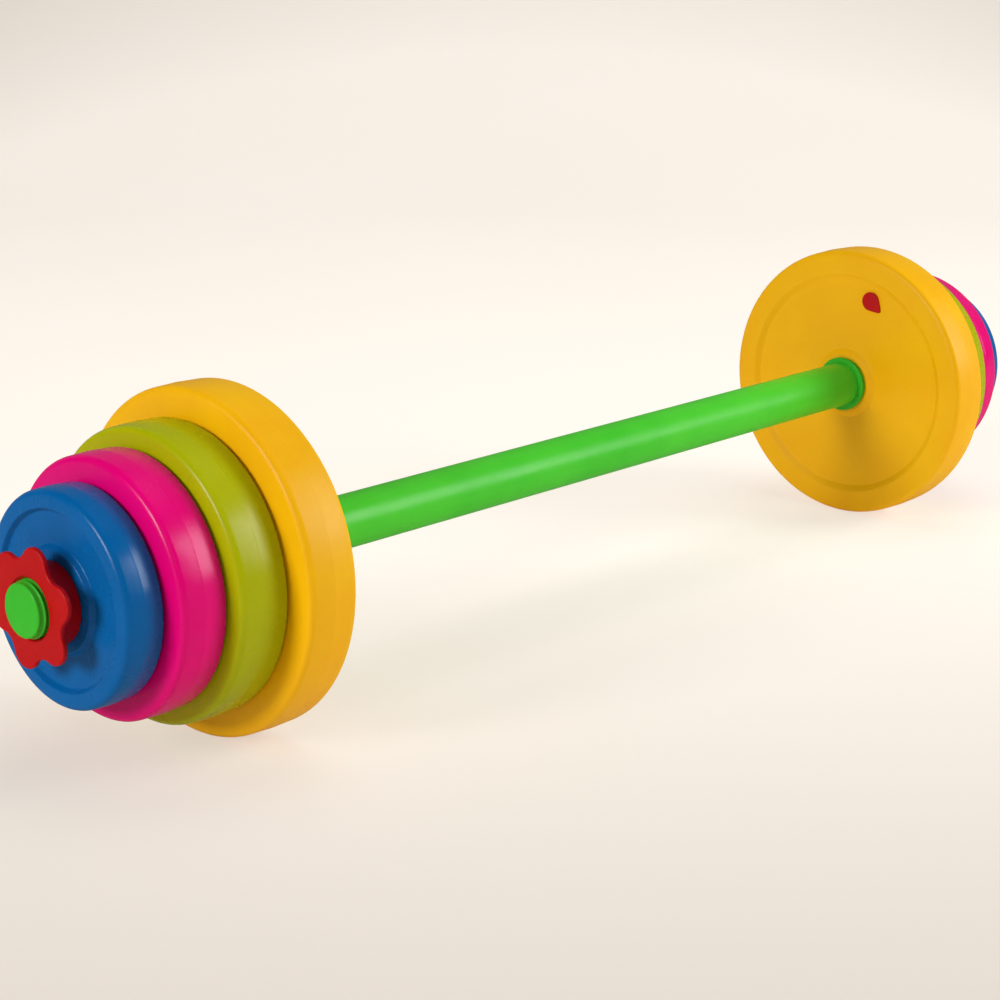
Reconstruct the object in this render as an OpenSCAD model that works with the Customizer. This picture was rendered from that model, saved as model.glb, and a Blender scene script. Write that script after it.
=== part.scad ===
// Toy barbell: a green bar between two stacks of four hollow plates, each
// stack held by a flower-shaped nut. The bar lies along X with its middle at
// the origin, +Z is up, sizes are in millimetres.

/* [Bar] */
// Outside diameter of the bar and of the spindles in its ends
bar_d = 25; // [22:0.5:27]
// Wall thickness of the bar tube
tube_wall = 2.2; // [1.6:0.1:3]
// Clear length of bar between the two largest plates
grip_length = 463.8; // [300:0.1:600]
// Length of spindle that is pressed into the tube
insert_length = 40; // [20:1:60]
// Diameter of the stop flange that the largest plate leans on
flange_d = 31; // [29:0.2:32]
// Thickness of the stop flange
flange_t = 3; // [2:0.25:5]
// Length of spindle that stands out of the nut
stub_out = 3.8; // [2.5:0.1:8]
// Chamfer around the end of the spindle
stub_chamfer = 0.9; // [0.4:0.1:1.2]

/* [Plates] */
// Diameter of the yellow plate
yellow_d = 155.4; // [146:0.2:170]
// Diameter of the lime plate
lime_d = 130; // [120:0.1:140]
// Diameter of the magenta plate
magenta_d = 114; // [106:0.1:120]
// Diameter of the blue plate
blue_d = 93.8; // [90:0.1:100]
// Thickness of the yellow plate
yellow_t = 26.9; // [20:0.1:34]
// Thickness of the lime plate
lime_t = 25.6; // [20:0.1:34]
// Thickness of the magenta plate
magenta_t = 23.7; // [18:0.1:32]
// Thickness of the blue plate
blue_t = 19.5; // [17:0.1:28]
// Wall thickness of the hollow plates
shell_wall = 2; // [1.5:0.1:2.4]
// Depth of the dish in both faces of a plate
dish_depth = 2.2; // [2:0.1:2.8]
// Radius on the two corners of a plate's rim
rim_round = 3.2; // [2.8:0.1:4]
// Diameter of the flat hub on the face towards the grip
hub_in_d = 34; // [33:0.5:36]
// Diameter of the flat hub on the face towards the nut
hub_out_d = 44; // [42.5:0.5:46]
// Gap between one turning piece and the next along the bar
stack_gap = 0.3; // [0.3:0.05:0.6]

/* [Fill plugs] */
// Diameter of the plug's head
plug_head_d = 10.8; // [9.6:0.2:11.2]
// Thickness of the plug's head
plug_head_t = 1.7; // [1.2:0.1:1.8]
// Diameter of the plug's stem and of the fill hole
plug_stem_d = 8; // [6:0.2:8.6]
// Length of the plug's stem
plug_stem_l = 6; // [4:0.5:8]
// Distance from the plug's centre to the tip of its pull tab
plug_tab_reach = 8.6; // [8:0.1:9]
// Width of the pull tab at its tip
plug_tab_w = 2.6; // [2:0.2:4]
// Direction of the pull tab, from -Y towards +Z
plug_tab_angle = -41; // [-180:1:180]
// Place of the plug from the axis, as a share of the plate's radius
plug_place = 0.674; // [0.66:0.002:0.69]
// Angle of the plug around the bar, from -Y towards +Z
plug_angle = 73; // [0:1:360]

/* [Flower nuts] */
// Diameter over the tips of the petals
petal_tip_d = 54; // [52:0.5:58]
// Diameter over the notches between the petals
petal_notch_d = 42.4; // [41:0.2:44]
// Radius on the petals' tips
petal_r = 8; // [7:0.25:8.5]
// Number of petals
petals = 6; // [5:1:7]
// Thickness of the petal flange
petal_t = 2.4; // [1.6:0.1:4]
// Diameter of the round hub behind the petals
nut_hub_d = 35.6; // [34:0.2:38]
// Whole length of the nut along the bar
nut_length = 12.8; // [9:0.1:18]
// Angle of the first petal around the bar, from -Y towards +Z
petal_angle = 17; // [0:1:60]

/* [Hidden] */
$fn = 96;
SIDES = ["left", "right"];
COLOURS = ["yellow", "lime", "magenta", "blue"];
PAINT = [[0.96, 0.70, 0.05], [0.64, 0.68, 0.02], [0.88, 0.00, 0.46], [0.00, 0.37, 0.63]];
GREEN = [0.29, 0.82, 0.27];
DARK_GREEN = [0.22, 0.68, 0.20];
RED = [0.73, 0.08, 0.10];

plate_d = [yellow_d, lime_d, magenta_d, blue_d];
plate_t = [yellow_t, lime_t, magenta_t, blue_t];
// distance of each plate's grip-side face from the middle of the bar
yellow_x = grip_length / 2;
lime_x = yellow_x + yellow_t + stack_gap;
magenta_x = lime_x + lime_t + stack_gap;
blue_x = magenta_x + magenta_t + stack_gap;
nut_x = blue_x + blue_t + stack_gap;
plate_x = [yellow_x, lime_x, magenta_x, blue_x];

running = 0.08;            // radial clearance of every turning fit
plug_fit = 0.05;           // clearance of the plug in its hole and under its head
plug_stem_wall = 1.2;
bar_r = bar_d / 2;
tube_r = bar_r - tube_wall;
bore_r = bar_r + running;
stub_x = nut_x + nut_length + stub_out;
tube_half = yellow_x - stack_gap - flange_t;
spindle_wall = 3;          // wall of the hollow spindle, and its closed end
relief_depth = 0.6;        // the spindle's last stretch is thinner by this much
relief_l = 2;              // length of that stretch, before the chamfer
step = 1.6;                // run of the sloping edges of a dish
wide_step = 3.2;           // the same on the face that shows beside the grip
nut_mouth = 1.2;           // countersink around the spindle in the nut's face
rim_land = 0.83;           // radius of the dish as a share of the plate's radius
seat_land = 8;             // the next plate's rim rests this far outside the dish
over = 1;                  // cutters reach this far past what they cut

// centre distance and radius of the arcs that make the petal outline
petal_c = petal_tip_d / 2 - petal_r;
notch_r = (petal_c ^ 2 + (petal_notch_d / 2) ^ 2 - petal_r ^ 2
    - petal_c * petal_notch_d * cos(180 / petals))
    / (2 * petal_r - petal_notch_d + 2 * petal_c * cos(180 / petals));
notch_c = petal_notch_d / 2 + notch_r;
notch_bite = 0.1;          // the notches cut a little into the petals' arcs

// turns a shape drawn around Z to lie along X
module along_x() {
    rotate([0, 90, 0]) children();
}

// the same for an outline whose +X direction has to point at an angle
// around the bar, from -Y towards +Z
module facing_x(angle) {
    rotate([-angle, 0, 0]) rotate([0, 90, 0]) rotate(-90) children();
}

// puts a right-hand piece on the side asked for
module on_side(side) {
    if (side == "left") mirror([1, 0, 0]) children();
    else children();
}

// moves a piece out from the bar's axis, at an angle from -Y towards +Z
module around_bar(angle, radius) {
    translate([0, -radius * cos(angle), radius * sin(angle)]) children();
}

// radius of the dish in the nut-side face of plate k: it ends under the next
// plate, and the outermost plate has the same dish on both faces
function out_land(k) = k < 3 ? plate_d[k + 1] / 2 - seat_land : rim_land * plate_d[k] / 2;

// half-section of a dished disc: radius along X, thickness along Y from 0 up
module disc_section(r, t, bore, round, hub_in, hub_out, land_in, land_out, dish, step_in) {
    difference() {
        union() {
            translate([bore, round]) square([r - bore, t - 2 * round]);
            translate([bore, 0]) square([r - bore - round, t]);
            translate([r - round, round]) circle(round);
            translate([r - round, t - round]) circle(round);
        }
        polygon([[hub_in - over, -over], [hub_in, 0], [hub_in + step_in, dish],
            [land_in - step_in, dish], [land_in, 0], [land_in + over, -over]]);
        polygon([[hub_out - over, t + over], [hub_out, t], [hub_out + step, t - dish],
            [land_out - step, t - dish], [land_out, t], [land_out + over, t + over]]);
    }
}

// hollow plate number k, counted from the grip outwards
module plate(k) {
    r = plate_d[k] / 2;
    t = plate_t[k];
    w = shell_wall;
    slant = w * tan(22.5);
    step_in = k == 0 ? wide_step : step;
    difference() {
        translate([plate_x[k], 0, 0]) along_x() rotate_extrude() difference() {
            disc_section(r, t, bore_r, rim_round, hub_in_d / 2, hub_out_d / 2,
                rim_land * r, out_land(k), dish_depth, step_in);
            translate([0, w]) disc_section(r - w, t - 2 * w, bore_r + w, rim_round - w,
                hub_in_d / 2 - slant, hub_out_d / 2 - slant,
                rim_land * r + slant, out_land(k) + slant, dish_depth, step_in);
        }
        around_bar(plug_angle, plug_place * r)
            translate([plate_x[k] - over, 0, 0])
            along_x() cylinder(r = plug_stem_d / 2, h = dish_depth + shell_wall + 2 * over);
    }
}

// round head and pull tab of a plug in one outline, the tab along +X
module plug_outline() {
    head_r = plug_head_d / 2;
    tip_r = plug_tab_w / 2;
    tip_c = plug_tab_reach - tip_r;
    lean = acos((head_r - tip_r) / tip_c);
    circle(head_r);
    translate([tip_c, 0]) circle(tip_r);
    polygon([[head_r * cos(lean), head_r * sin(lean)],
        [tip_c + tip_r * cos(lean), tip_r * sin(lean)],
        [tip_c + tip_r * cos(lean), -tip_r * sin(lean)],
        [head_r * cos(lean), -head_r * sin(lean)]]);
}

// fill plug of plate k: a flat head with a pull tab, and a hollow stem
module plug(k) {
    seat_x = plate_x[k] + dish_depth;
    stem_r = plug_stem_d / 2 - plug_fit;
    around_bar(plug_angle, plug_place * plate_d[k] / 2)
        translate([seat_x - plug_head_t, 0, 0]) {
        facing_x(plug_tab_angle) linear_extrude(plug_head_t - plug_fit) plug_outline();
        along_x() difference() {
            cylinder(r = stem_r, h = plug_head_t + plug_stem_l);
            translate([0, 0, plug_head_t])
                cylinder(r = stem_r - plug_stem_wall, h = plug_stem_l + over);
        }
    }
}

module bar_tube() {
    translate([-tube_half, 0, 0]) along_x() rotate_extrude()
        translate([tube_r, 0]) square([tube_wall, 2 * tube_half]);
}

// end fitting: an insert, a stop flange and a spindle with a chamfered end
module end_spindle() {
    back = tube_half - insert_length;
    core_r = tube_r - spindle_wall;
    end_r = bar_r - relief_depth;
    relief_x = stub_x - stub_chamfer - relief_l;
    along_x() rotate_extrude() polygon([
        [core_r, back], [tube_r, back], [tube_r, tube_half], [flange_d / 2, tube_half],
        [flange_d / 2, tube_half + flange_t], [bar_r, tube_half + flange_t],
        [bar_r, relief_x - relief_depth], [end_r, relief_x],
        [end_r, stub_x - stub_chamfer], [end_r - stub_chamfer, stub_x], [0, stub_x],
        [0, stub_x - spindle_wall], [core_r, stub_x - spindle_wall]]);
}

// outline of the petals, arc against arc
module petal_outline() {
    pitch = 360 / petals;
    difference() {
        union() {
            polygon([for (i = [0:petals - 1], half = [0, 1])
                (half ? notch_c : petal_c)
                    * [cos((i + half / 2) * pitch), sin((i + half / 2) * pitch)]]);
            for (i = [0:petals - 1]) rotate(i * pitch) translate([petal_c, 0]) circle(petal_r);
        }
        for (i = [0:petals - 1]) rotate((i + 0.5) * pitch) translate([notch_c, 0])
            circle(notch_r + notch_bite);
    }
}

module flower_nut() {
    translate([nut_x, 0, 0]) difference() {
        union() {
            along_x() cylinder(r = nut_hub_d / 2, h = nut_length - petal_t / 2);
            translate([nut_length - petal_t, 0, 0])
                facing_x(petal_angle) linear_extrude(petal_t) petal_outline();
        }
        translate([-over, 0, 0]) along_x() cylinder(r = bore_r, h = nut_length + 2 * over);
        translate([nut_length - nut_mouth, 0, 0]) along_x()
            cylinder(r1 = bore_r, r2 = bore_r + nut_mouth + 0.01, h = nut_mouth + 0.01);
    }
}

color(GREEN) bar_tube();
for (s = SIDES) {
    color(DARK_GREEN) on_side(s) end_spindle();
    for (k = [0:3]) {
        color(PAINT[k]) on_side(s) plate(k);
        color(RED) on_side(s) plug(k);
    }
    color(RED) on_side(s) flower_nut();
}
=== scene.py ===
"""Looks of the toy barbell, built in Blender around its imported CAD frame.

Every piece is modelled here in metres, in the CAD frame: the bar lies along X with its middle at
the origin. Right-hand pieces are drawn once, and the left-hand ones are their mirror images.
"""

import math

import bpy
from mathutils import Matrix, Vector, noise


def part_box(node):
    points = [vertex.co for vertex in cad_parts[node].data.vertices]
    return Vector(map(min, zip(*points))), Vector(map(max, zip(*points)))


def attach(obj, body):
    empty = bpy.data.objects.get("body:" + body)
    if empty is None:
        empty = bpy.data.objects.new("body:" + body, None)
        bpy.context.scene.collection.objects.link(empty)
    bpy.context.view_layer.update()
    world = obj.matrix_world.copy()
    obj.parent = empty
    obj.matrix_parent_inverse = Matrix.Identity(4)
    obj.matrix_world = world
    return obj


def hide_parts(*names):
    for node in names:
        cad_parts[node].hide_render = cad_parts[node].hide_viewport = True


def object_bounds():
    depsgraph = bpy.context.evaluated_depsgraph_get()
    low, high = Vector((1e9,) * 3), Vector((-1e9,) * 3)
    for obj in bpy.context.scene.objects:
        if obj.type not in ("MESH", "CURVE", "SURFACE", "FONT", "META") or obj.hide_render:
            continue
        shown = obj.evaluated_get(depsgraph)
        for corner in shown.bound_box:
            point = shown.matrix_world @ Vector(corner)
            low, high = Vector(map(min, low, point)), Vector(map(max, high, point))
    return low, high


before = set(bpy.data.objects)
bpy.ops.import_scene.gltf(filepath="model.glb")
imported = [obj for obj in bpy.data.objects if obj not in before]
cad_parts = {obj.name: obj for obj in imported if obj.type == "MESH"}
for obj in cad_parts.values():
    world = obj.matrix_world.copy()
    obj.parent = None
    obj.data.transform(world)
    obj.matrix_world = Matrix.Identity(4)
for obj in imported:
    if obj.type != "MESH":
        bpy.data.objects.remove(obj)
cad_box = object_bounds()

MM = 0.001
COLOURS = ["yellow", "lime", "magenta", "blue"]  # the plates of an end, from the grip outwards
SIDES = {"left": -1, "right": 1}
SEGMENTS = 288  # steps around a plate
FLOOR_Z = cad_box[0].z


def direction(azimuth, elevation):
    """Unit vector towards an azimuth (0 is -Y, 90 is +X) and an elevation, in degrees."""
    a, e = math.radians(azimuth), math.radians(elevation)
    return Vector((math.sin(a) * math.cos(e), -math.cos(a) * math.cos(e), math.sin(e)))


def stand(thing, aim, towards, distance):
    """Puts a camera or a lamp into the scene, at a distance from what it points at."""
    thing.location = aim + towards * distance
    thing.rotation_mode = "QUATERNION"
    thing.rotation_quaternion = (-towards).to_track_quat("-Z", "Y")
    bpy.context.scene.collection.objects.link(thing)


# ---------------------------------------------------------------- camera
AIM = Vector((-0.0337, 0.0273, -0.0221))
DISTANCE = 1.134
LENS, SENSOR = 79.87, 36

back = direction(-47.11, 15.49)
camera = bpy.data.objects.new("camera", bpy.data.cameras.new("camera"))
stand(camera, AIM, back, DISTANCE)
camera.data.sensor_width = SENSOR
camera.data.lens = LENS
bpy.context.scene.camera = camera


# ---------------------------------------------------------------- shaping helpers
STRAIGHT = math.radians(179)  # a corner as flat as this stays as it is
LONGEST_REACH = 0.49  # an arc takes at most this share of each side of its corner
ON_AXIS = 1e-7  # a ring or a difference smaller than this counts as none


def rounded(corners, steps=7):
    """A closed outline from (x, r, fillet radius) corners, with each corner turned into an arc."""
    out = []
    for i, (x, r, fillet) in enumerate(corners):
        here = Vector((x, r))
        before = Vector(corners[i - 1][:2]) - here
        after = Vector(corners[(i + 1) % len(corners)][:2]) - here
        turn = before.angle(after)
        if fillet <= 0 or turn > STRAIGHT:
            out.append((x, r))
            continue
        longest = min(before.length, after.length) * LONGEST_REACH
        reach = min(fillet / math.tan(turn / 2), longest)
        radius = reach * math.tan(turn / 2)
        middle = (before.normalized() + after.normalized()).normalized()
        centre = here + middle * (radius / math.sin(turn / 2))
        start = here + before.normalized() * reach - centre
        sweep = start.angle_signed(here + after.normalized() * reach - centre)
        for k in range(steps + 1):
            a = -sweep * k / steps
            out.append(
                (
                    centre.x + start.x * math.cos(a) - start.y * math.sin(a),
                    centre.y + start.x * math.sin(a) + start.y * math.cos(a),
                )
            )
    return out


def lathe(rings, side, segments=SEGMENTS, closed=True):
    """Vertices and faces of rings turned around X. A ring is (x, radius), and its radius may be a
    function of the angle around the bar, from -Y towards +Z. An open set of rings has to start and
    end on the axis. The faces wind with their normals into the solid."""
    verts, faces, rows = [], [], []
    for x, radius in rings:
        if not callable(radius) and radius < ON_AXIS:
            rows.append([len(verts)] * segments)
            verts.append((side * x, 0, 0))
            continue
        row = []
        for i in range(segments):
            a = 2 * math.pi * i / segments
            r = radius(a) if callable(radius) else radius
            row.append(len(verts))
            verts.append((side * x, -r * math.cos(a), r * math.sin(a)))
        rows.append(row)
    count = len(rows) if closed else len(rows) - 1
    for j in range(count):
        a, b = rows[j], rows[(j + 1) % len(rows)]
        for i in range(segments):
            k = (i + 1) % segments
            face = [a[i], a[k], b[k], b[i]]
            face = [v for n, v in enumerate(face) if v != face[n - 1]]
            faces.append(face if side > 0 else face[::-1])
    return verts, faces


def add_piece(name, verts, faces, material, body, node):
    """Makes the mesh object, shades it, gives it its material, ties it to its body and hides its
    CAD node.
    """
    mesh = bpy.data.meshes.new(name)
    mesh.from_pydata(verts, [], faces)
    mesh.validate()
    mesh.polygons.foreach_set("use_smooth", [True] * len(mesh.polygons))
    mesh.materials.append(material)
    piece = bpy.data.objects.new(name, mesh)
    bpy.context.scene.collection.objects.link(piece)
    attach(piece, body)
    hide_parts(node)
    return piece


def cut(piece, verts, faces):
    """Cuts a closed shape out of a piece, and keeps the result as the piece's mesh."""
    mesh = bpy.data.meshes.new("cutter")
    mesh.from_pydata(verts, [], faces)
    cutter = bpy.data.objects.new("cutter", mesh)
    bpy.context.scene.collection.objects.link(cutter)
    modifier = piece.modifiers.new("cut", "BOOLEAN")
    modifier.object = cutter
    modifier.solver = "EXACT"
    graph = bpy.context.evaluated_depsgraph_get()
    done = bpy.data.meshes.new_from_object(piece.evaluated_get(graph))
    piece.modifiers.clear()
    old, piece.data = piece.data, done
    name = old.name
    bpy.data.meshes.remove(old)
    done.name = name
    bpy.data.objects.remove(cutter)
    bpy.data.meshes.remove(mesh)


SEED_SHIFT = (3.7, 1.3, 7.1)  # how far apart two seeds lie in the noise


def make_uneven(piece, amount, size, seed):
    """Moves the surface in and out a little, as on a blow-moulded shell."""
    mesh = piece.data
    offset = Vector([seed * step for step in SEED_SHIFT])
    normals = [v.normal.copy() for v in mesh.vertices]
    for v, n in zip(mesh.vertices, normals):
        v.co += n * amount * noise.noise(v.co / size + offset)
    mesh.update()


def sharpen(piece, degrees=38):
    """Smooth shading that stops at real edges."""
    piece.data.set_sharp_from_angle(angle=math.radians(degrees))


# ---------------------------------------------------------------- materials
def linear(rgb):
    """Scene-linear colour from 0-255 sRGB."""
    out = []
    for c in rgb:
        c /= 255
        out.append(c / 12.92 if c <= 0.04045 else ((c + 0.055) / 1.055) ** 2.4)
    return out


class Graph:
    """A few short cuts for wiring shader nodes."""

    def __init__(self, name):
        self.material = bpy.data.materials.new(name)
        self.material.use_nodes = True
        self.tree = self.material.node_tree
        self.shader = self.tree.nodes["Principled BSDF"]
        self.place = self.node("ShaderNodeTexCoord").outputs["Object"]

    def node(self, kind, **settings):
        made = self.tree.nodes.new(kind)
        for key, value in settings.items():
            setattr(made, key, value)
        return made

    def link(self, a, b):
        self.tree.links.new(a, b)

    def noise(self, scale, detail=2.0, roughness=0.5, stretch=(1, 1, 1), shift=0.0):
        mapping = self.node("ShaderNodeMapping")
        mapping.inputs["Scale"].default_value = stretch
        mapping.inputs["Location"].default_value = (shift, shift * 0.7, shift * 1.3)
        texture = self.node("ShaderNodeTexNoise")
        texture.inputs["Scale"].default_value = scale
        texture.inputs["Detail"].default_value = detail
        texture.inputs["Roughness"].default_value = roughness
        self.link(self.place, mapping.inputs["Vector"])
        self.link(mapping.outputs["Vector"], texture.inputs["Vector"])
        return texture.outputs["Fac"]

    def remap(self, value, low, high, to_low, to_high):
        made = self.node("ShaderNodeMapRange", clamp=True)
        self.link(value, made.inputs["Value"])
        for key, number in (
            ("From Min", low),
            ("From Max", high),
            ("To Min", to_low),
            ("To Max", to_high),
        ):
            made.inputs[key].default_value = number
        return made.outputs["Result"]

    def mix(self, factor, a, b, blend="MIX"):
        made = self.node("ShaderNodeMix", data_type="RGBA", blend_type=blend)
        factor_in, a_in, b_in = made.inputs[0], made.inputs[6], made.inputs[7]
        for socket, value in ((factor_in, factor), (a_in, a), (b_in, b)):
            if hasattr(value, "is_output"):
                self.link(value, socket)
            elif socket is factor_in:
                socket.default_value = value
            else:
                socket.default_value = (*value, 1)
        return made.outputs[2]

    def bump(self, height, strength, distance, before=None):
        made = self.node("ShaderNodeBump")
        made.inputs["Strength"].default_value = strength
        made.inputs["Distance"].default_value = distance
        self.link(height, made.inputs["Height"])
        if before is not None:
            self.link(before, made.inputs["Normal"])
        return made.outputs["Normal"]


SHEEN = 0.2  # specular level of the plastics, lower than bare gloss: their fine grain dulls it
CLOUD, PATCH, WAVE, SCUFF, STREAK, FLECK, GRAIN = 24, 60, 55, 160, 260, 700, 1400  # noise per metre
FLECK_SHARE, RUBBED_SHARE = 0.12, 0.10  # the most that flecks and rubbed spots lighten the colour
SUBSURFACE, SUBSURFACE_DEPTH = 0.06, 2 * MM


def plastic(name, rgb, deep, roughness, seed, grain=0.25, streaks=None):
    """Moulded plastic: a clouded colour, a fine grain, faint waviness and rubbed spots."""
    g = Graph(name)
    colour, dark = linear(rgb), linear(deep)
    cloud = g.noise(CLOUD, 3, 0.55, shift=seed)
    fleck = g.noise(FLECK, 2, 0.6, shift=seed + 2)
    scuff = g.noise(SCUFF, 6, 0.75, stretch=(1, 0.3, 0.3), shift=seed + 5)
    base = g.mix(g.remap(cloud, 0.3, 0.7, 0, 1), colour, dark)
    lighter = [min(1, c * 1.25) for c in colour]
    base = g.mix(g.remap(fleck, 0.35, 0.75, 0, FLECK_SHARE), base, lighter)
    palest = [min(1, 1.3 * c + 0.03) for c in colour]
    base = g.mix(g.remap(scuff, 0.62, 0.75, 0, RUBBED_SHARE), base, palest)
    g.link(base, g.shader.inputs["Base Color"])
    patchy = g.noise(PATCH, 4, 0.6, shift=seed + 9)
    gloss = g.remap(patchy, 0.3, 0.7, roughness - 0.05, roughness + 0.06)
    g.link(gloss, g.shader.inputs["Roughness"])
    wave = g.bump(g.noise(WAVE, 2, 0.4, shift=seed + 11), 0.35, 0.35 * MM)
    fine = g.bump(g.noise(GRAIN, 3, 0.6, shift=seed + 13), grain, 0.05 * MM, wave)
    if streaks is not None:
        fine = g.bump(g.noise(STREAK, 2, 0.5, stretch=streaks), 0.25, 0.06 * MM, fine)
    g.link(fine, g.shader.inputs["Normal"])
    g.shader.inputs["Specular IOR Level"].default_value = SHEEN
    g.shader.inputs["Subsurface Weight"].default_value = SUBSURFACE
    g.shader.inputs["Subsurface Radius"].default_value = [0.6 + c for c in colour]
    g.shader.inputs["Subsurface Scale"].default_value = SUBSURFACE_DEPTH
    return g.material


ALONG_BAR = (0.04, 1, 1)  # stretch of the streaks that drawing leaves on the tube
PLASTICS = {
    "yellow": plastic("yellow_plastic", (250, 188, 0), (246, 178, 0), 0.40, 1, grain=0.4),
    "lime": plastic("lime_plastic", (176, 182, 0), (168, 176, 0), 0.27, 2),
    "magenta": plastic("magenta_plastic", (234, 0, 120), (224, 0, 112), 0.23, 3),
    "blue": plastic("blue_plastic", (0, 98, 166), (0, 91, 157), 0.25, 4),
    "red": plastic("red_plastic", (190, 4, 10), (180, 0, 6), 0.42, 5, grain=0.45),
    "green": plastic("green_plastic", (78, 208, 50), (66, 198, 44), 0.34, 6, streaks=ALONG_BAR),
    "dark_green": plastic("dark_green_plastic", (60, 188, 44), (52, 177, 38), 0.34, 7),
}


# ---------------------------------------------------------------- plates
BAR_END, BAR_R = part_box("bar_tube")[1].x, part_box("bar_tube")[1].z
BORE_R = BAR_R + 0.08 * MM
DISH, STEP, WALL = 2.2 * MM, 1.6 * MM, 2.0 * MM
WIDE_STEP = 3.2 * MM  # run of the dish's slopes on the yellow plates' grip side
HUB_IN_R, HUB_OUT_R = 17.0 * MM, 22.0 * MM
LAND = 0.83  # radius of the dish as a share of the plate's
SEAT_LAND = 8 * MM  # the next plate's rim rests this far outside the dish
RIM_ROUND, BASE_ROUND = 3.0 * MM, 1.8 * MM  # rim corners on the nut's and on the grip's side
CROWN = 0.45 * MM  # how much lower the rim is at its corners than in the middle
RIM_SLOPE = 0.5 * MM  # how far the rim's corners lean in from the faces
SEAM, SEAM_W = 0.05 * MM, 0.6 * MM  # parting line around the middle of the rim
BORE_ROUND, LAND_ROUND, DISH_ROUND, SEAM_ROUND = 0.4 * MM, 0.8 * MM, 1.0 * MM, 0.3 * MM
INSIDE_ROUND, INSIDE_RIM_ROUND = 0.5 * MM, 1.5 * MM
UNEVEN, UNEVEN_SIZE = 0.10 * MM, 34 * MM
PLUG_PLACE, PLUG_ANGLE = 0.674, math.radians(73)  # share of the plate's radius, and place around it
PLUG_STEM_R = 4.0 * MM
HOLE_FLARE, HOLE_FLARE_DEPTH = 1.4 * MM, 0.49 * MM  # the hole's mouth widens towards the grip


def plate_span(colour):
    """Grip-side face, nut-side face and radius of a right-hand plate."""
    low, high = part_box(f"{colour}_plate_right")
    return low.x, high.x, high.z


def lands(colour):
    """Radius of the dish on the grip side and on the nut side."""
    k = COLOURS.index(colour)
    near = LAND * plate_span(colour)[2]
    far = near if k == 3 else plate_span(COLOURS[k + 1])[2] - SEAT_LAND
    return near, far


def plate_section(colour):
    """Closed outline of a plate's skin from its bore outwards, as (x, r, fillet radius)."""
    x0, x1, r = plate_span(colour)
    land, far_land = lands(colour)
    mid = (x0 + x1) / 2
    base_round, step = (RIM_ROUND, WIDE_STEP) if colour == "yellow" else (BASE_ROUND, STEP)
    near = [
        (x0, BORE_R, BORE_ROUND),
        (x0, HUB_IN_R, LAND_ROUND),
        (x0 + DISH, HUB_IN_R + step, DISH_ROUND),
        (x0 + DISH, land - step, DISH_ROUND),
        (x0, land, LAND_ROUND),
        (x0 + RIM_SLOPE, r - CROWN, base_round),
    ]
    seam = [
        (mid - SEAM_W, r - SEAM, SEAM_ROUND),
        (mid, r, SEAM_ROUND),
        (mid + SEAM_W, r - SEAM, SEAM_ROUND),
    ]
    far = [
        (x1 - RIM_SLOPE, r - CROWN, RIM_ROUND),
        (x1, far_land, LAND_ROUND),
        (x1 - DISH, far_land - STEP, DISH_ROUND),
        (x1 - DISH, HUB_OUT_R + STEP, DISH_ROUND),
        (x1, HUB_OUT_R, LAND_ROUND),
        (x1, BORE_R, BORE_ROUND),
    ]
    return near + seam + far


def cavity_section(colour):
    """Closed outline of the hollow inside a plate, one wall inside its skin."""
    x0, x1, r = plate_span(colour)
    inner = r - WALL - CROWN
    step = WIDE_STEP if colour == "yellow" else STEP
    land, far_land = (edge + 0.4 * WALL for edge in lands(colour))
    return [
        (x0 + WALL, BORE_R + WALL, INSIDE_ROUND),
        (x0 + WALL, HUB_IN_R, INSIDE_ROUND),
        (x0 + DISH + WALL, HUB_IN_R + step, INSIDE_ROUND),
        (x0 + DISH + WALL, land - step, INSIDE_ROUND),
        (x0 + WALL, land, INSIDE_ROUND),
        (x0 + WALL, inner, INSIDE_RIM_ROUND),
        (x1 - WALL, inner, INSIDE_RIM_ROUND),
        (x1 - WALL, far_land, INSIDE_ROUND),
        (x1 - DISH - WALL, far_land - STEP, INSIDE_ROUND),
        (x1 - DISH - WALL, HUB_OUT_R + STEP, INSIDE_ROUND),
        (x1 - WALL, HUB_OUT_R, INSIDE_ROUND),
        (x1 - WALL, BORE_R + WALL, INSIDE_ROUND),
    ]


def off_axis(verts, radius, angle):
    """The same points moved out from the bar's axis."""
    dy, dz = -radius * math.cos(angle), radius * math.sin(angle)
    return [(x, y + dy, z + dz) for x, y, z in verts]


def plug_hole(colour, side):
    """Shape of the hole that a loose fill plug's stem goes into."""
    x0, _, r = plate_span(colour)
    dish = x0 + DISH
    outside, mouth, inside = dish - 2 * WALL, dish + HOLE_FLARE_DEPTH, dish + 2 * WALL
    hole = [
        (outside, 0),
        (outside, PLUG_STEM_R + HOLE_FLARE),
        (mouth, PLUG_STEM_R),
        (inside, PLUG_STEM_R),
        (inside, 0),
    ]
    verts, faces = lathe(hole, side, 48, closed=False)
    return off_axis(verts, PLUG_PLACE * r, PLUG_ANGLE), faces


def plate(colour, side_name):
    """A hollow shell. On a yellow plate the cut for the loose plug's stem changes which way the
    faces wind, but it opens no hole in the wall."""
    side = SIDES[side_name]
    verts, faces = lathe(rounded(plate_section(colour)), side)
    inner, inner_faces = lathe(rounded(cavity_section(colour), 3), side)
    start = len(verts)
    verts += inner
    faces += [[start + i for i in reversed(f)] for f in inner_faces]
    name = f"{colour}_plate_{side_name}"
    piece = add_piece(f"{name}_shell", verts, faces, PLASTICS[colour], name, name)
    make_uneven(piece, UNEVEN, UNEVEN_SIZE, COLOURS.index(colour) + 2 * side)
    if colour == "yellow":
        cut(piece, *plug_hole(colour, side))
    sharpen(piece)


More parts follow.
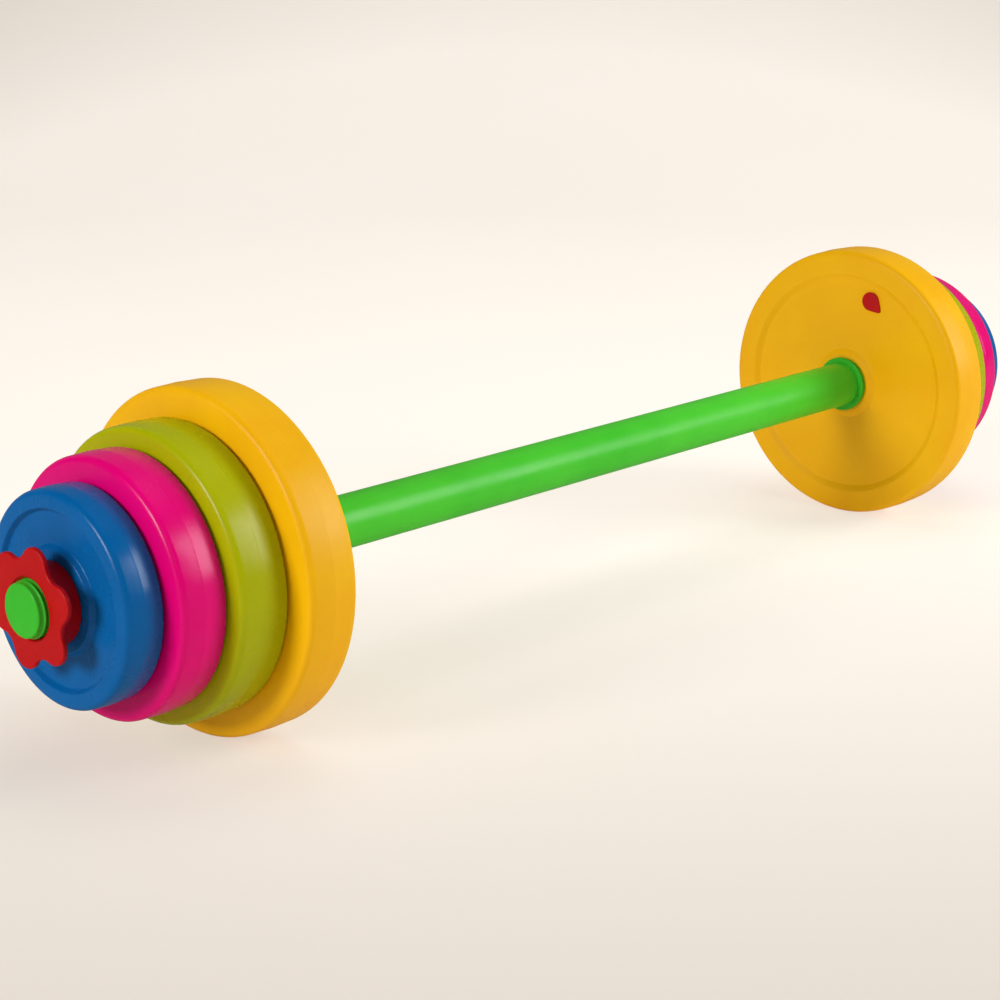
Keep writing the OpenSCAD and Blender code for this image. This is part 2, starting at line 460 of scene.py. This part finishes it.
# ---------------------------------------------------------------- fill plugs
HEAD_R, HEAD_T = 5.4 * MM, 1.7 * MM
HEAD_EDGE, HEAD_CROWN = 0.6 * MM, 0.15 * MM  # round of the head's edge, rise of its middle
TIP_R, TAB_REACH = 1.3 * MM, 8.6 * MM
TAB_ANGLE = math.radians(-41)
STEM_L, STEM_WALL = 6 * MM, 1.2 * MM


def drop_radius(inset):
    """Radius of the plug's drop-shaped head by angle: a round head and a tapering tab, drawn in by
    inset."""
    big, small, reach = HEAD_R - inset, TIP_R - inset, TAB_REACH - TIP_R
    lean = math.acos((HEAD_R - TIP_R) / reach)
    tip_end = math.atan2(small * math.sin(lean), reach + small * math.cos(lean))

    def radius(angle):
        a = abs((angle - TAB_ANGLE + math.pi) % (2 * math.pi) - math.pi)
        if a >= lean:
            return big
        if a <= tip_end:
            return reach * math.cos(a) + math.sqrt(max(small**2 - (reach * math.sin(a)) ** 2, 0))
        return big / math.cos(a - lean)

    return radius


def plug(colour, side_name):
    """A crowned drop-shaped head with a soft edge, on a straight hollow stem."""
    side = SIDES[side_name]
    x0, _, r = plate_span(colour)
    seat = x0 + DISH - 0.05 * MM
    top = seat - HEAD_T
    stem = PLUG_STEM_R - 0.05 * MM
    end = seat + STEM_L
    rings = [(top, 0), (top + 0.05 * MM, HEAD_R * 0.35), (top + 0.12 * MM, HEAD_R * 0.6)]
    for k in range(6, -1, -1):
        a = math.pi / 2 * k / 6
        x = top + HEAD_CROWN + HEAD_EDGE * (1 - math.sin(a))
        rings.append((x, drop_radius(HEAD_EDGE * (1 - math.cos(a)))))
    rings += [
        (seat - 0.15 * MM, drop_radius(0)),
        (seat, drop_radius(0.15 * MM)),
        (seat, stem + 0.3 * MM),
        (seat + 0.3 * MM, stem),
        (end - 0.4 * MM, stem),
        (end, stem - 0.4 * MM),
        (end, stem - STEM_WALL),
        (seat + 0.5 * MM, stem - STEM_WALL),
        (seat + 0.5 * MM, 0),
    ]
    verts, faces = lathe(rings, side, 96, closed=False)
    verts = off_axis(verts, PLUG_PLACE * r, PLUG_ANGLE)
    name = f"{colour}_plug_{side_name}"
    body = name if colour == "yellow" else f"{colour}_plate_{side_name}"
    piece = add_piece(f"{name}_cap", verts, faces, PLASTICS["red"], body, name)
    sharpen(piece, 45)


# ---------------------------------------------------------------- bar and spindles
TUBE_WALL = 2.2 * MM
TUBE_LENGTHS = 60  # mesh steps along the tube
FLANGE_T = 3 * MM
THREAD_PITCH, THREAD_DEPTH = 3.2 * MM, 0.75 * MM
THREAD_STEP, THREAD_FADE = 0.2 * MM, 0.6 * MM  # mesh step along the thread, and its run-out
BEVEL = 0.8 * MM  # of the spindle's end


def bar():
    """The grip, an open tube."""
    inner = BAR_R - TUBE_WALL
    section = [
        (-BAR_END, inner, 0.3 * MM),
        (-BAR_END, BAR_R, 0.45 * MM),
        (BAR_END, BAR_R, 0.45 * MM),
        (BAR_END, inner, 0.3 * MM),
    ]
    rings = rounded(section)
    lengthwise = [
        (-BAR_END + 2 * BAR_END * k / TUBE_LENGTHS, BAR_R) for k in range(1, TUBE_LENGTHS)
    ]
    outside = [i for i, (x, r) in enumerate(rings) if x < 0 and abs(r - BAR_R) < ON_AXIS]
    after = max(outside) + 1
    verts, faces = lathe(rings[:after] + lengthwise + rings[after:], 1, 128)
    piece = add_piece(
        "bar_tube_skin", verts, faces, PLASTICS["green"], "bar", "bar_tube"
    )
    sharpen(piece)


def spindle(side_name):
    """Insert, stop flange and threaded spindle, with a bevelled end."""
    side = SIDES[side_name]
    low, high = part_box("end_spindle_right")
    back_x, end_x, flange_r = low.x, high.x, high.z
    insert_r = BAR_R - TUBE_WALL
    core_r = insert_r - 3 * MM
    face_r = BAR_R - 0.9 * MM
    thread_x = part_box("flower_nut_right")[0].x + 1 * MM
    thread_end = end_x - 2.3 * MM

    def threaded(x):
        def radius(angle):
            phase = (x / THREAD_PITCH - angle / (2 * math.pi)) % 1
            ridge = 0.5 + 0.5 * math.cos(2 * math.pi * phase)
            fade = min(1, max(0, (thread_end - x) / THREAD_FADE))
            return BAR_R - THREAD_DEPTH * (1 - fade * ridge**0.8)

        return radius

    floor_x = end_x - 3 * MM  # where the hollow core stops, behind the end face
    rings = [
        (floor_x, 0),
        (floor_x, core_r),
        (back_x, core_r),
        (back_x, insert_r - 0.6 * MM),
        (back_x + 0.6 * MM, insert_r),
        (BAR_END, insert_r),
    ]
    rings += rounded(
        [
            (BAR_END, BAR_R - 0.6 * MM, 0),
            (BAR_END, flange_r, 0.7 * MM),
            (BAR_END + FLANGE_T, flange_r, 0.7 * MM),
            (BAR_END + FLANGE_T, BAR_R, 0),
        ]
    )
    rings.append((thread_x, BAR_R))
    steps = int((thread_end - thread_x) / THREAD_STEP)
    for k in range(1, steps + 1):
        x = thread_x + (thread_end - thread_x) * k / steps
        rings.append((x, threaded(x)))
    rings += [
        (thread_end + 0.3 * MM, face_r),
        (end_x - BEVEL, face_r),
        (end_x - BEVEL * 0.6, face_r - BEVEL * 0.1),
        (end_x - BEVEL * 0.2, face_r - BEVEL * 0.45),
        (end_x, face_r - BEVEL),
        (end_x, face_r * 0.5),
        (end_x, 0),
    ]
    verts, faces = lathe(rings, side, 192, closed=False)
    name = f"end_spindle_{side_name}"
    colour, slot = PLASTICS["dark_green"], "dark_green_plastic"
    piece = add_piece(f"{name}_fitting", verts, faces, colour, "bar", name)
    sharpen(piece)


# ---------------------------------------------------------------- flower nuts
PETALS = 6
PETAL_R = 8 * MM
PETAL_ANGLE = math.radians(17)
PETAL_TIP_R, PETAL_NOTCH_R = 27 * MM, 21.2 * MM
PETAL_T = 2.4 * MM
HUB_R = 17.8 * MM
NUT_EDGE, NUT_MOUTH = 0.7 * MM, 1.2 * MM
HUB_EDGE, HUB_NECK = 0.6 * MM, 0.8 * MM

# Centres of the petals' and of the notches' arcs, and the notch radius at which the two touch.
PETAL_C = PETAL_TIP_R - PETAL_R
HALF_PITCH = math.pi / PETALS
NOTCH_R = (
    PETAL_C**2 + PETAL_NOTCH_R**2 - PETAL_R**2 - 2 * PETAL_C * PETAL_NOTCH_R * math.cos(HALF_PITCH)
) / (2 * PETAL_R - 2 * PETAL_NOTCH_R + 2 * PETAL_C * math.cos(HALF_PITCH))
NOTCH_C = PETAL_NOTCH_R + NOTCH_R


def petal_radius(inset):
    """Radius of the petal outline by angle, drawn in by inset: an arc for each petal and notch."""
    big, small = PETAL_R - inset, NOTCH_R + inset
    to_notch = Vector((NOTCH_C * math.cos(HALF_PITCH) - PETAL_C, NOTCH_C * math.sin(HALF_PITCH)))
    touch = Vector((PETAL_C, 0)) + to_notch.normalized() * big
    change = math.atan2(touch.y, touch.x)

    def radius(angle):
        a = abs((angle - PETAL_ANGLE + HALF_PITCH) % (2 * HALF_PITCH) - HALF_PITCH)
        if a <= change:
            return PETAL_C * math.cos(a) + math.sqrt(big**2 - (PETAL_C * math.sin(a)) ** 2)
        b = HALF_PITCH - a
        return NOTCH_C * math.cos(b) - math.sqrt(small**2 - (NOTCH_C * math.sin(b)) ** 2)

    return radius


def petal_edge(x, to_front):
    """Rings of the flange's rounded edge, on the side that ends at x."""
    rows = []
    for k in range(6):
        a = math.pi / 2 * k / 5
        if to_front:
            at, inset = x - NUT_EDGE + NUT_EDGE * math.sin(a), NUT_EDGE * (1 - math.cos(a))
        else:
            at, inset = x + NUT_EDGE - NUT_EDGE * math.cos(a), NUT_EDGE * (1 - math.sin(a))
        rows.append((at, petal_radius(inset)))
    return rows


def nut(side_name):
    """A flat petal flange with soft edges in front of a round hub."""
    side = SIDES[side_name]
    low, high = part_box("flower_nut_right")
    x0, x1 = low.x, high.x
    flange_x = x1 - PETAL_T
    rings = [
        (x0, BORE_R),
        (x0, HUB_R - HUB_EDGE),
        (x0 + 0.3 * HUB_EDGE, HUB_R - 0.3 * HUB_EDGE),
        (x0 + HUB_EDGE, HUB_R),
        (flange_x - HUB_NECK, HUB_R),
        (flange_x - 0.3 * HUB_NECK, HUB_R + 0.3 * HUB_NECK),
        (flange_x, HUB_R + HUB_NECK),
    ]
    rings += petal_edge(flange_x, to_front=False)
    rings += petal_edge(x1, to_front=True)
    rings += [
        (x1, BORE_R + NUT_MOUTH + 3 * MM),
        (x1, BORE_R + NUT_MOUTH),
        (x1 - NUT_MOUTH, BORE_R),
    ]
    verts, faces = lathe(rings, side, 360)
    name = f"flower_nut_{side_name}"
    piece = add_piece(f"{name}_flower", verts, faces, PLASTICS["red"], name, name)
    sharpen(piece)


bar()
for side_name in SIDES:
    spindle(side_name)
    for colour in COLOURS:
        plate(colour, side_name)
        plug(colour, side_name)
    nut(side_name)


# ---------------------------------------------------------------- floor and light
PAPER_MIDDLE = (0.75, 0.7, FLOOR_Z)  # middle of the painted pool of light on the paper, where it is painted palest
# The third colour is the painted shade that darkens the paper around the edges of the set.
PALE, PALE_CLOUD, PAINTED_EDGE_SHADE, MIRRORED = (
    linear(rgb) for rgb in ((250, 243, 234), (247, 240, 230), (212, 203, 193), (112, 108, 104))
)
SHADE_PAINT_RANGE, FAR = (0.95, 1.55), (2.2, 3.4)  # distances where the painted shade comes in, and where the paper is pale again
PAPER_LIT = 0.5  # share of the light on the paper that the camera sees, so that it looks even
PAPER_BOUNCE, PAPER_GLOW, PAPER_FAR_GLOW = 0.15, 0.68, 0.72
FRONT, DEPTH, CURVE, TOP, HALF_WIDTH = -3.0, 2.6, 1.2, 3.0, 4.0  # the paper's extent
AIR, AIR_MIRRORED, AIR_SEEN = 0.13, 0.02, 0.85
AIR_COLOUR = (1.0, 0.965, 0.92, 1)


def floor_paper():
    """Pale paper, with painted shade that darkens it around the edges of the set, so that its
    middle looks lit brightest. It glows softly, more to the camera than to the toy, so that shadows
    stay light, and it mirrors dimly in gloss."""
    g = Graph("floor_paper")
    path = g.node("ShaderNodeLightPath")
    away = g.node("ShaderNodeVectorMath", operation="DISTANCE")
    away.inputs[1].default_value = PAPER_MIDDLE
    g.link(g.place, away.inputs[0])
    distance = away.outputs["Value"]
    paper = g.mix(g.noise(3, 2), PALE, PALE_CLOUD)
    # Painted shade: the paper darkens away from the middle of the set.
    paper = g.mix(g.remap(distance, *SHADE_PAINT_RANGE, 0, 1), paper, PAINTED_EDGE_SHADE)
    paper = g.mix(g.remap(distance, *FAR, 0, 1), paper, PALE)
    other = g.mix(path.outputs["Is Glossy Ray"], paper, MIRRORED)
    seen = g.mix(1.0, paper, (PAPER_LIT, PAPER_LIT, PAPER_LIT), "MULTIPLY")
    g.link(g.mix(path.outputs["Is Camera Ray"], other, seen), g.shader.inputs["Base Color"])
    g.link(paper, g.shader.inputs["Emission Color"])
    glow = g.node("ShaderNodeMapRange")
    g.link(path.outputs["Is Camera Ray"], glow.inputs["Value"])
    glow.inputs["To Min"].default_value = PAPER_BOUNCE
    g.link(g.remap(distance, *FAR, PAPER_GLOW, PAPER_FAR_GLOW), glow.inputs["To Max"])
    g.link(glow.outputs["Result"], g.shader.inputs["Emission Strength"])
    g.shader.inputs["Roughness"].default_value = 0.9
    g.shader.inputs["Specular IOR Level"].default_value = 0.1
    return g.material


def studio_floor():
    """A pale floor that curves up into a backdrop behind the toy, as seen by the camera."""
    forward = Vector((-back.x, -back.y, 0)).normalized()
    across = Vector((forward.y, -forward.x, 0))
    path = [(FRONT, 0.0), (DEPTH - CURVE, 0.0)]
    for k in range(1, 25):
        a = math.pi / 2 * k / 24
        path.append((DEPTH - CURVE + CURVE * math.sin(a), CURVE * (1 - math.cos(a))))
    path.append((DEPTH, TOP))
    verts, faces = [], []
    for along, up in path:
        for s in (-HALF_WIDTH, HALF_WIDTH):
            p = forward * along + across * s
            verts.append((p.x, p.y, FLOOR_Z + up))
    for i in range(len(path) - 1):
        faces.append((2 * i, 2 * i + 1, 2 * i + 3, 2 * i + 2))
    mesh = bpy.data.meshes.new("studio_floor")
    mesh.from_pydata(verts, [], faces)
    mesh.polygons.foreach_set("use_smooth", [True] * len(faces))
    mesh.materials.append(floor_paper())
    floor = bpy.data.objects.new("studio_floor", mesh)
    bpy.context.scene.collection.objects.link(floor)


def softbox(name, azimuth, elevation, aim, distance, size, power, mirrored=True):
    """A rectangular light that stands in a direction from aim and points at it."""
    data = bpy.data.lights.new(name, "AREA")
    data.shape = "RECTANGLE"
    data.size, data.size_y = size
    data.energy = power
    lamp = bpy.data.objects.new(name, data)
    lamp.visible_glossy = mirrored
    stand(lamp, Vector(aim), direction(azimuth, elevation), distance)


def studio_air():
    """Even light from all round, which glossy surfaces mirror only faintly, as in a dark studio."""
    world = bpy.data.worlds.new("studio")
    bpy.context.scene.world = world
    world.use_nodes = True
    nodes, links = world.node_tree.nodes, world.node_tree.links
    path = nodes.new("ShaderNodeLightPath")
    level = nodes.new("ShaderNodeMapRange")
    level.inputs["To Min"].default_value = AIR
    level.inputs["To Max"].default_value = AIR_MIRRORED
    seen = nodes.new("ShaderNodeMapRange")
    seen.inputs["To Max"].default_value = AIR_SEEN
    links.new(path.outputs["Is Glossy Ray"], level.inputs["Value"])
    links.new(path.outputs["Is Camera Ray"], seen.inputs["Value"])
    links.new(level.outputs["Result"], seen.inputs["To Min"])
    links.new(seen.outputs["Result"], nodes["Background"].inputs["Strength"])
    nodes["Background"].inputs["Color"].default_value = AIR_COLOUR


studio_floor()
LEFT_END, MIDDLE = (cad_box[0].x, 0, 0), (0, 0, 0)
softbox("left_key", -97, 22, LEFT_END, 1.8, (0.6, 0.6), 22.5)
softbox("front_fill", -52, 30, MIDDLE, 2.2, (1.2, 1.2), 3, mirrored=False)
softbox("right_box", 46, 22, LEFT_END, 3.0, (1.15, 1.58), 52)
softbox("overhead", 100, 75, MIDDLE, 1.9, (1.4, 1.4), 12.5, mirrored=False)
studio_air()
bpy.context.scene.view_settings.view_transform = "Standard"
